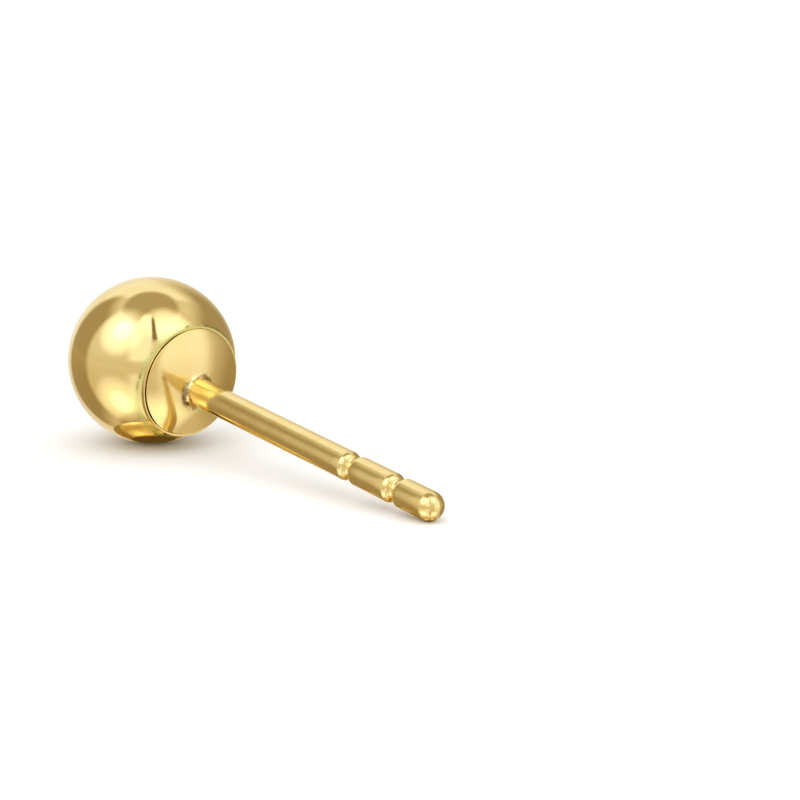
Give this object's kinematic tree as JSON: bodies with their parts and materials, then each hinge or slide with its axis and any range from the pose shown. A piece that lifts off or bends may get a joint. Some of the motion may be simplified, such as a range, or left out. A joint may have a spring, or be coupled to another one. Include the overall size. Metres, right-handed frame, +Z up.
{
  "type": "ball stud earring",
  "caption": "Polished gold ball stud earring: a hollow ball with a raised collar, a domed back cap and a straight, grooved ear post.",
  "frame": {"origin": "on the floor, under the middle of the box of the earring lying at rest on its ball and post tip", "axes": "+Z up, +X the way the post points along the floor, XZ the plane of symmetry"},
  "size_m": [0.0152, 0.005, 0.005],
  "materials": {
    "ball_gold": "mirror polished yellow gold",
    "post_gold": "polished yellow gold, a little duller, with grainy solder at the post's foot"
  },
  "bodies": {
    "root": {"ball": "ball_gold", "back_cap_and_post": "post_gold"}
  },
  "joints": []
}
